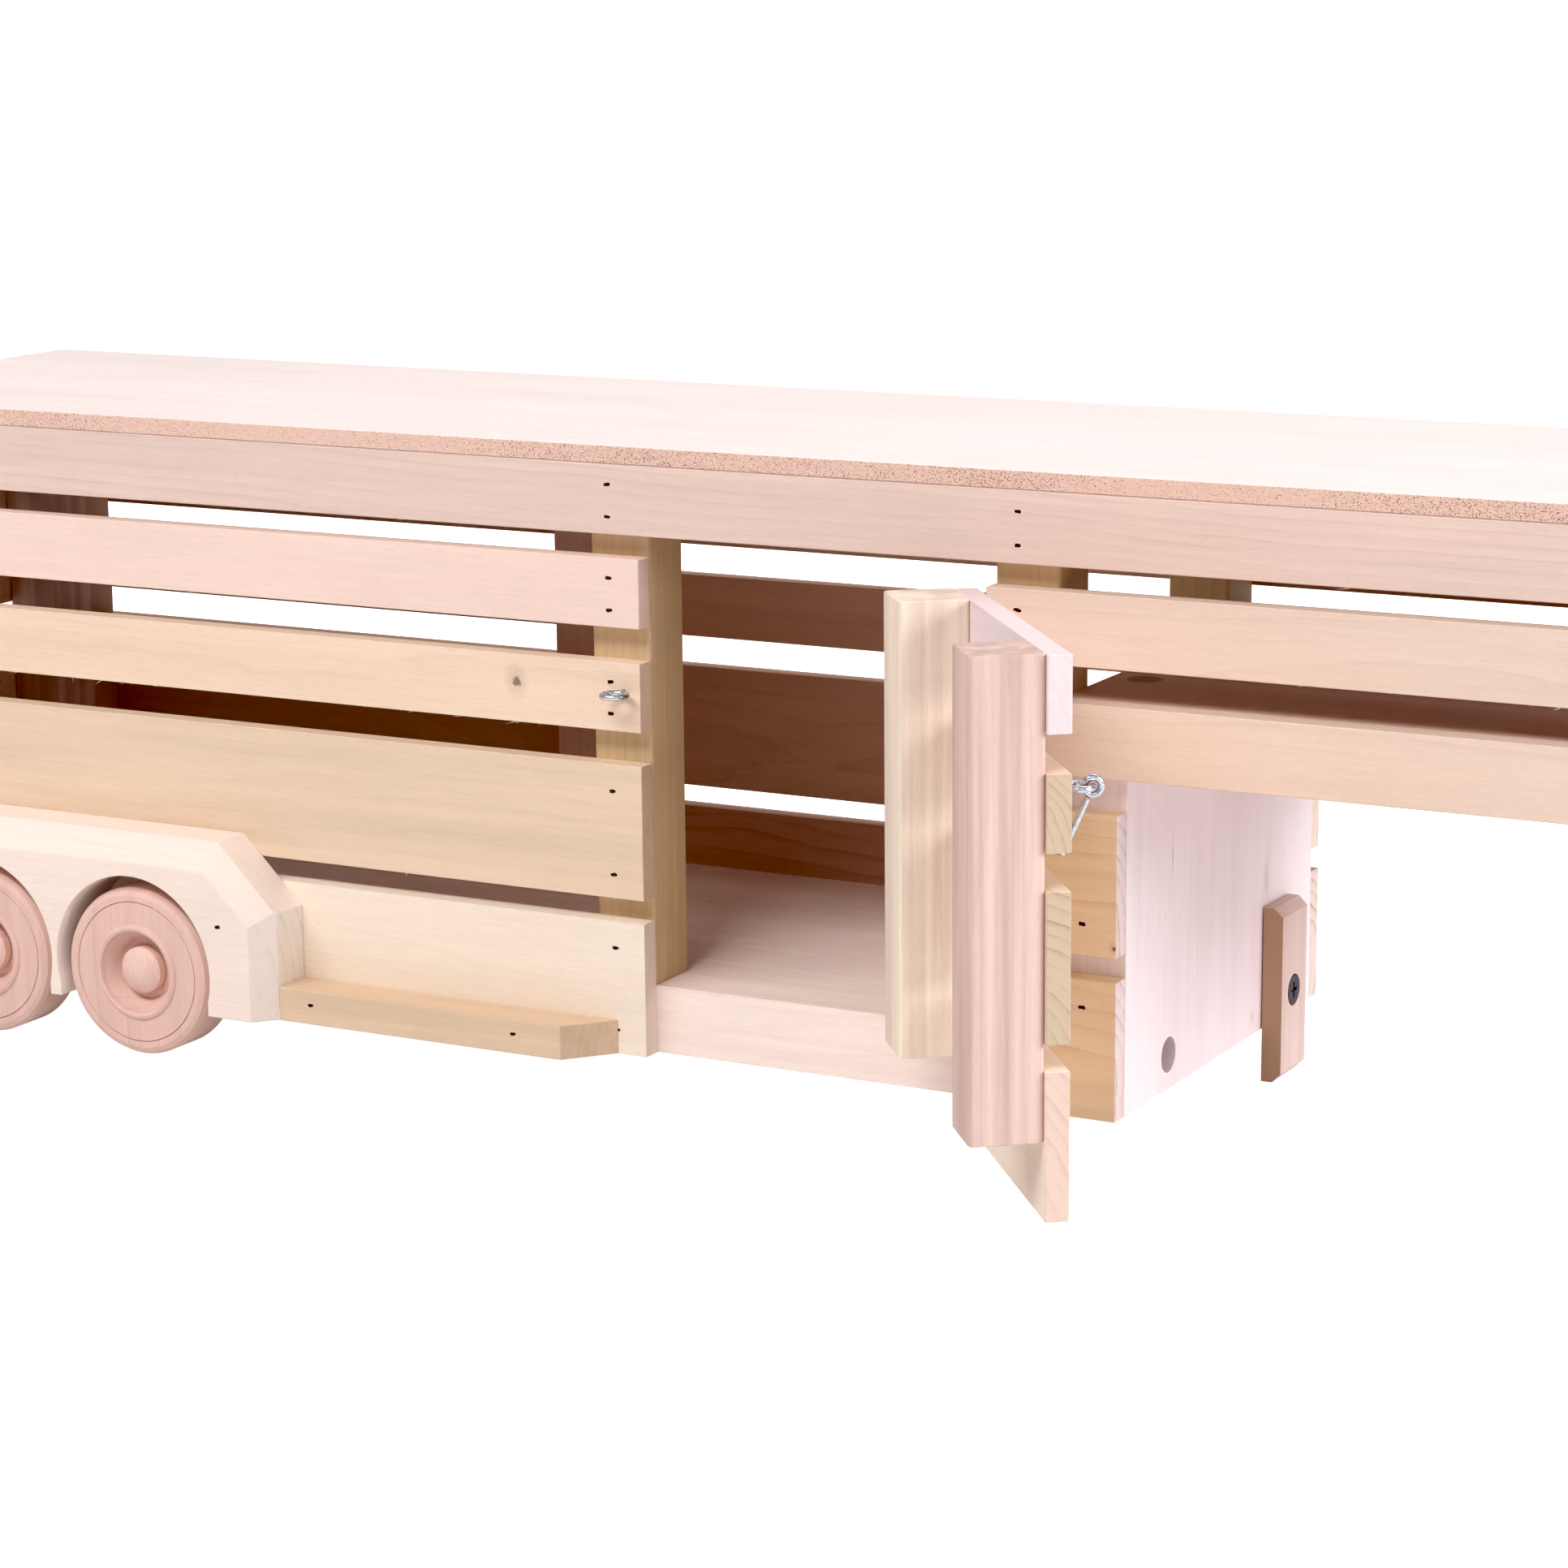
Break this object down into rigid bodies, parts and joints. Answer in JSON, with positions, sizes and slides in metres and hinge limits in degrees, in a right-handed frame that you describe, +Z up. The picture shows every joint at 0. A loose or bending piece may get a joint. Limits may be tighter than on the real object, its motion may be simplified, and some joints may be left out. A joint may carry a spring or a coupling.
{
  "type": "toy stock trailer",
  "caption": "Wooden toy stock trailer with slatted sides, flat roof, swinging side door and rear gate, rolling wheels, turning stand and a hitch peg under its raised nose.",
  "frame": {"origin": "middle of the overall box, side door open as stored, at ground level", "axes": "+X to the front, where the raised nose is; -Y is the side with the door; +Z up"},
  "size_m": [0.63, 0.2636, 0.1885],
  "materials": {
    "slat_wood": "sanded, unfinished",
    "post_wood": "sanded, unfinished",
    "roof_wood": "sanded sheet",
    "bulkhead_wood": "sanded, unfinished",
    "floor_wood": "sanded, unfinished",
    "fender_wood": "sanded, unfinished",
    "running_board_wood": "sanded, unfinished",
    "turned_wood": "turned and sanded",
    "batten_wood": "sanded, unfinished",
    "stand_wood": "sanded, unfinished",
    "hitch_wood": "sanded, unfinished",
    "zinc_wire": "bright zinc plate",
    "black_screw": "black oxide"
  },
  "bodies": {
    "trailer": {"floor_board": "floor_wood", "bulkhead_board": "bulkhead_wood", "deck_board": "floor_wood", "roof_sheet": "roof_wood", "rear_header": "slat_wood", "near_rail": "slat_wood", "near_slat_top": "slat_wood", "near_slat_middle": "slat_wood", "near_slat_wide": "slat_wood", "near_board_bottom": "slat_wood", "nose_slat_top": "slat_wood", "nose_slat_middle": "slat_wood", "short_slat_wide": "slat_wood", "short_board_bottom": "slat_wood", "far_rail": "slat_wood", "far_slat_top": "slat_wood", "far_slat_middle": "slat_wood", "far_slat_wide": "slat_wood", "far_board_bottom": "slat_wood", "post_near_rear": "post_wood", "post_door_rear": "post_wood", "post_door_front": "post_wood", "post_far_rear": "post_wood", "post_far_middle": "post_wood", "post_far_front": "post_wood", "posts_nose": "post_wood", "nose_rail": "slat_wood", "nose_cross_slats": "slat_wood", "fender_near": "fender_wood", "fender_far": "fender_wood", "running_boards": "running_board_wood", "axle_pegs": "turned_wood", "fixed_hinge_leaves": "zinc_wire", "wall_eyes": "zinc_wire", "stand_screw": "black_screw", "bulkhead_screw": "black_screw", "deck_screws": "black_screw", "hitch_block": "hitch_wood", "hitch_peg": "hitch_wood"},
    "side_door": {"door_batten_hinge": "batten_wood", "door_batten_free": "batten_wood", "door_slat_top": "slat_wood", "door_slat_middle": "slat_wood", "door_slat_wide": "slat_wood", "door_board_bottom": "slat_wood", "door_hinge_leaves": "zinc_wire", "door_eye": "zinc_wire"},
    "door_hook_ring": {"door_hook_loop": "zinc_wire"},
    "door_hook": {"door_hook_arm": "zinc_wire"},
    "rear_gate": {"gate_battens": "batten_wood", "gate_slats": "slat_wood", "gate_hinge_leaves": "zinc_wire", "gate_eye": "zinc_wire"},
    "gate_hook_ring": {"gate_hook_loop": "zinc_wire"},
    "gate_hook": {"gate_hook_arm": "zinc_wire"},
    "wheel_nf": {"wheel_near_front": "turned_wood"},
    "wheel_nr": {"wheel_near_rear": "turned_wood"},
    "wheel_ff": {"wheel_far_front": "turned_wood"},
    "wheel_fr": {"wheel_far_rear": "turned_wood"},
    "stand": {"stand_bar": "stand_wood"}
  },
  "joints": [
    {"name": "side_door_hinge", "type": "hinge", "parent": "trailer", "child": "side_door", "pos_m": [0.11067, -0.03728, 0.1054], "axis": [0, 0, 1], "range_deg": [-128.7, 40]},
    {"name": "door_hook_turn", "type": "hinge", "parent": "side_door", "child": "door_hook_ring", "pos_m": [0.1691, -0.10413, 0.1221], "axis": [0, 0, 1], "range_deg": [-90, 90]},
    {"name": "door_hook_lift", "type": "hinge", "parent": "door_hook_ring", "child": "door_hook", "pos_m": [0.17183, -0.10194, 0.1221], "axis": [0.6252, -0.7804, 0], "range_deg": [0, 115]},
    {"name": "rear_gate_hinge", "type": "hinge", "parent": "trailer", "child": "rear_gate", "pos_m": [-0.30462, 0.08651, 0.1054], "axis": [0, 0, 1], "range_deg": [-175, 0]},
    {"name": "gate_hook_turn", "type": "hinge", "parent": "rear_gate", "child": "gate_hook_ring", "pos_m": [-0.30843, 0.00511, 0.1221], "axis": [0, 0, 1], "range_deg": [-90, 90]},
    {"name": "gate_hook_lift", "type": "hinge", "parent": "gate_hook_ring", "child": "gate_hook", "pos_m": [-0.31193, 0.00511, 0.1221], "axis": [0, 1, 0], "range_deg": [0, 115]},
    {"name": "wheel_nf_spin", "type": "hinge", "parent": "trailer", "child": "wheel_nf", "pos_m": [-0.15902, -0.04609, 0.0254], "axis": [0, 1, 0], "continuous": true},
    {"name": "wheel_nr_spin", "type": "hinge", "parent": "trailer", "child": "wheel_nr", "pos_m": [-0.21702, -0.04609, 0.0254], "axis": [0, 1, 0], "continuous": true},
    {"name": "wheel_ff_spin", "type": "hinge", "parent": "trailer", "child": "wheel_ff", "pos_m": [-0.15902, 0.12231, 0.0254], "axis": [0, 1, 0], "continuous": true},
    {"name": "wheel_fr_spin", "type": "hinge", "parent": "trailer", "child": "wheel_fr", "pos_m": [-0.21702, 0.12231, 0.0254], "axis": [0, 1, 0], "continuous": true},
    {"name": "stand_turn", "type": "hinge", "parent": "trailer", "child": "stand", "pos_m": [0.15327, 0.07752, 0.0258], "axis": [1, 0, 0], "range_deg": [-90, 90]}
  ]
}
